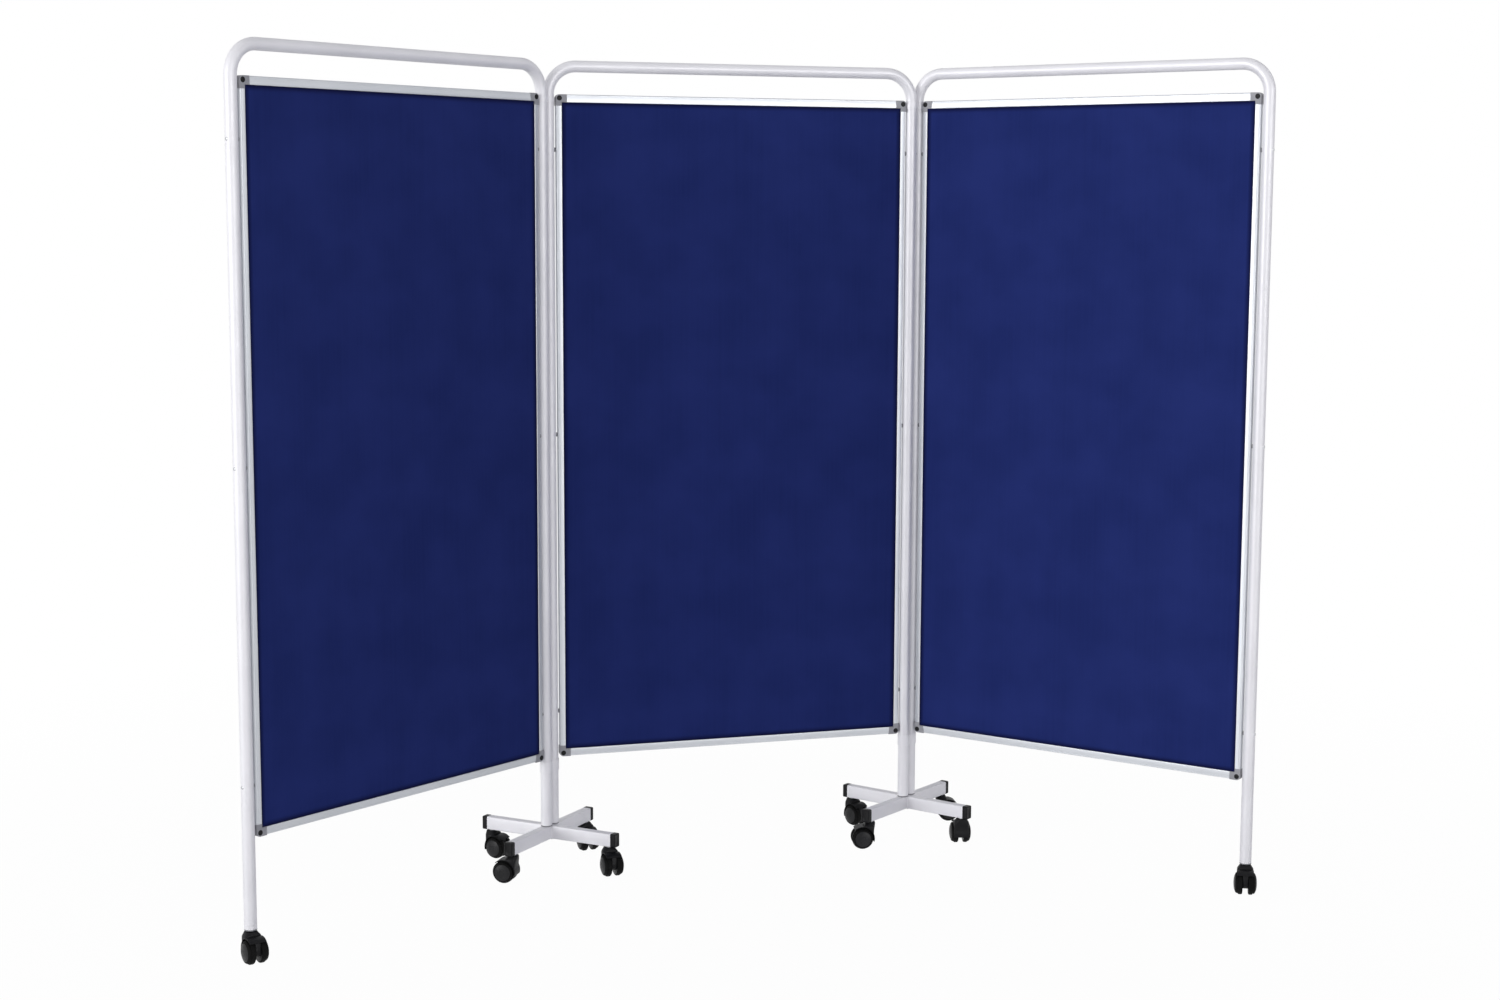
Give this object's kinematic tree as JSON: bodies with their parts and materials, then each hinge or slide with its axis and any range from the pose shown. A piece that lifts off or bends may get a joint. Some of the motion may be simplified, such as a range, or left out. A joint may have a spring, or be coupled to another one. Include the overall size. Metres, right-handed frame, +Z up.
{
  "type": "ward privacy screen on wheels",
  "caption": "Free-standing folding screen: fabric-faced boards in bent tube frames, hinged over cross bases that roll on twin-wheel casters, the outer legs on casters of their own.",
  "frame": {"origin": "on the floor, under the middle of the whole screen as it stands open", "axes": "+Z up; the middle panel lies along X, with its front, the hollow side of the open screen, towards -Y; +X to the right seen from the front"},
  "size_m": [2.1636, 0.8502, 1.8],
  "materials": {
    "white_powder_coat": "smooth satin white powder coat on steel tube",
    "aluminium": "satin anodised extrusion with fine draw lines",
    "grey_plastic": "moulded mid-grey plastic, fine satin grain",
    "black_plastic": "moulded black nylon, satin",
    "steel": "zinc-plated steel",
    "blue_cloth": "plain close weave, navy to royal blue, stretched over the board",
    "board": "pressed wood-fibre board"
  },
  "bodies": {
    "centre_panel": {"centre_tube_frame": "white_powder_coat", "centre_board_edge": "aluminium", "centre_board_core": "board", "centre_front_cloth": "blue_cloth", "centre_rear_cloth": "blue_cloth", "centre_left_foot_bush": "grey_plastic", "centre_right_foot_bush": "grey_plastic"},
    "left_base": {"left_base_arms": "white_powder_coat", "left_base_left_pivot_pin": "steel", "left_base_right_pivot_pin": "steel", "left_base_lower_hinge_link": "white_powder_coat", "left_base_upper_hinge_link": "white_powder_coat", "left_base_rear_right_end_cap": "black_plastic", "left_base_rear_left_end_cap": "black_plastic", "left_base_front_left_end_cap": "black_plastic", "left_base_front_right_end_cap": "black_plastic"},
    "right_base": {"right_base_arms": "white_powder_coat", "right_base_left_pivot_pin": "steel", "right_base_right_pivot_pin": "steel", "right_base_lower_hinge_link": "white_powder_coat", "right_base_upper_hinge_link": "white_powder_coat", "right_base_rear_right_end_cap": "black_plastic", "right_base_rear_left_end_cap": "black_plastic", "right_base_front_left_end_cap": "black_plastic", "right_base_front_right_end_cap": "black_plastic"},
    "left_panel": {"left_tube_frame": "white_powder_coat", "left_board_edge": "aluminium", "left_board_core": "board", "left_front_cloth": "blue_cloth", "left_rear_cloth": "blue_cloth", "left_foot_bush": "grey_plastic", "left_leg_plug": "grey_plastic"},
    "right_panel": {"right_tube_frame": "white_powder_coat", "right_board_edge": "aluminium", "right_board_core": "board", "right_front_cloth": "blue_cloth", "right_rear_cloth": "blue_cloth", "right_foot_bush": "grey_plastic", "right_leg_plug": "grey_plastic"},
    "left_base_rear_left_caster": {"left_base_rear_left_caster": "black_plastic"},
    "left_base_rear_left_wheels": {"left_base_rear_left_wheels": "black_plastic"},
    "left_base_front_left_caster": {"left_base_front_left_caster": "black_plastic"},
    "left_base_front_left_wheels": {"left_base_front_left_wheels": "black_plastic"},
    "left_base_front_right_caster": {"left_base_front_right_caster": "black_plastic"},
    "left_base_front_right_wheels": {"left_base_front_right_wheels": "black_plastic"},
    "left_base_rear_right_caster": {"left_base_rear_right_caster": "black_plastic"},
    "left_base_rear_right_wheels": {"left_base_rear_right_wheels": "black_plastic"},
    "right_base_rear_left_caster": {"right_base_rear_left_caster": "black_plastic"},
    "right_base_rear_left_wheels": {"right_base_rear_left_wheels": "black_plastic"},
    "right_base_front_left_caster": {"right_base_front_left_caster": "black_plastic"},
    "right_base_front_left_wheels": {"right_base_front_left_wheels": "black_plastic"},
    "right_base_front_right_caster": {"right_base_front_right_caster": "black_plastic"},
    "right_base_front_right_wheels": {"right_base_front_right_wheels": "black_plastic"},
    "right_base_rear_right_caster": {"right_base_rear_right_caster": "black_plastic"},
    "right_base_rear_right_wheels": {"right_base_rear_right_wheels": "black_plastic"},
    "left_leg_caster": {"left_leg_caster": "black_plastic"},
    "left_leg_wheels": {"left_leg_wheels": "black_plastic"},
    "right_leg_caster": {"right_leg_caster": "black_plastic"},
    "right_leg_wheels": {"right_leg_wheels": "black_plastic"}
  },
  "joints": [
    {"name": "left_base_pivot", "type": "hinge", "parent": "centre_panel", "child": "left_base", "pos_m": [-0.34034, 0.26848, 0.0935], "axis": [0, 0, 1], "range_deg": [-116, 24]},
    {"name": "left_panel_pivot", "type": "hinge", "parent": "left_base", "child": "left_panel", "pos_m": [-0.36007, 0.24805, 0.0935], "axis": [0, 0, 1], "range_deg": [-83.5, 106.5]},
    {"name": "right_base_pivot", "type": "hinge", "parent": "centre_panel", "child": "right_base", "pos_m": [0.50926, 0.26848, 0.0935], "axis": [0, 0, 1], "range_deg": [-106, 34]},
    {"name": "right_panel_pivot", "type": "hinge", "parent": "right_base", "child": "right_panel", "pos_m": [0.53224, 0.28517, 0.0935], "axis": [0, 0, 1], "range_deg": [-7.5, 182.5]},
    {"name": "left_base_rear_left_swivel", "type": "hinge", "parent": "left_base", "child": "left_base_rear_left_caster", "pos_m": [-0.4617, 0.36593, 0.0555], "axis": [0, 0, 1], "continuous": true},
    {"name": "left_base_rear_left_roll", "type": "hinge", "parent": "left_base_rear_left_caster", "child": "left_base_rear_left_wheels", "pos_m": [-0.45013, 0.35214, 0.025], "axis": [0.766, 0.6428, 0], "continuous": true},
    {"name": "left_base_front_left_swivel", "type": "hinge", "parent": "left_base", "child": "left_base_front_left_caster", "pos_m": [-0.45788, 0.14676, 0.0555], "axis": [0, 0, 1], "continuous": true},
    {"name": "left_base_front_left_roll", "type": "hinge", "parent": "left_base_front_left_caster", "child": "left_base_front_left_wheels", "pos_m": [-0.47314, 0.1563, 0.025], "axis": [-0.5299, -0.848, 0], "continuous": true},
    {"name": "left_base_front_right_swivel", "type": "hinge", "parent": "left_base", "child": "left_base_front_right_caster", "pos_m": [-0.23871, 0.15059, 0.0555], "axis": [0, 0, 1], "continuous": true},
    {"name": "left_base_front_right_roll", "type": "hinge", "parent": "left_base_front_right_caster", "child": "left_base_front_right_wheels", "pos_m": [-0.23714, 0.13266, 0.025], "axis": [0.9962, 0.0872, 0], "continuous": true},
    {"name": "left_base_rear_right_swivel", "type": "hinge", "parent": "left_base", "child": "left_base_rear_right_caster", "pos_m": [-0.24253, 0.36976, 0.0555], "axis": [0, 0, 1], "continuous": true},
    {"name": "left_base_rear_right_roll", "type": "hinge", "parent": "left_base_rear_right_caster", "child": "left_base_rear_right_wheels", "pos_m": [-0.24034, 0.35189, 0.025], "axis": [0.9925, 0.1219, 0], "continuous": true},
    {"name": "right_base_rear_left_swivel", "type": "hinge", "parent": "right_base", "child": "right_base_rear_left_caster", "pos_m": [0.42964, 0.40222, 0.0555], "axis": [0, 0, 1], "continuous": true},
    {"name": "right_base_rear_left_roll", "type": "hinge", "parent": "right_base_rear_left_caster", "child": "right_base_rear_left_wheels", "pos_m": [0.4358, 0.3853, 0.025], "axis": [0.9397, 0.342, 0], "continuous": true},
    {"name": "right_base_front_left_swivel", "type": "hinge", "parent": "right_base", "child": "right_base_front_left_caster", "pos_m": [0.39535, 0.18571, 0.0555], "axis": [0, 0, 1], "continuous": true},
    {"name": "right_base_front_left_roll", "type": "hinge", "parent": "right_base_front_left_caster", "child": "right_base_front_left_wheels", "pos_m": [0.37774, 0.18946, 0.025], "axis": [-0.2079, -0.9781, 0], "continuous": true},
    {"name": "right_base_front_right_swivel", "type": "hinge", "parent": "right_base", "child": "right_base_front_right_caster", "pos_m": [0.61186, 0.15142, 0.0555], "axis": [0, 0, 1], "continuous": true},
    {"name": "right_base_front_right_roll", "type": "hinge", "parent": "right_base_front_right_caster", "child": "right_base_front_right_wheels", "pos_m": [0.6159, 0.16896, 0.025], "axis": [-0.9744, 0.225, 0], "continuous": true},
    {"name": "right_base_rear_right_swivel", "type": "hinge", "parent": "right_base", "child": "right_base_rear_right_caster", "pos_m": [0.64615, 0.36793, 0.0555], "axis": [0, 0, 1], "continuous": true},
    {"name": "right_base_rear_right_roll", "type": "hinge", "parent": "right_base_rear_right_caster", "child": "right_base_rear_right_wheels", "pos_m": [0.66387, 0.3648, 0.025], "axis": [0.1736, 0.9848, 0], "continuous": true},
    {"name": "left_leg_swivel", "type": "hinge", "parent": "left_panel", "child": "left_leg_caster", "pos_m": [-1.06025, -0.23317, 0.0555], "axis": [0, 0, 1], "continuous": true},
    {"name": "left_leg_roll", "type": "hinge", "parent": "left_leg_caster", "child": "left_leg_wheels", "pos_m": [-1.05468, -0.25029, 0.025], "axis": [0.9511, 0.309, 0], "continuous": true},
    {"name": "right_leg_swivel", "type": "hinge", "parent": "right_panel", "child": "right_leg_caster", "pos_m": [1.06113, -0.37974, 0.0555], "axis": [0, 0, 1], "continuous": true},
    {"name": "right_leg_roll", "type": "hinge", "parent": "right_leg_caster", "child": "right_leg_wheels", "pos_m": [1.05295, -0.39577, 0.025], "axis": [0.891, -0.454, 0], "continuous": true}
  ]
}
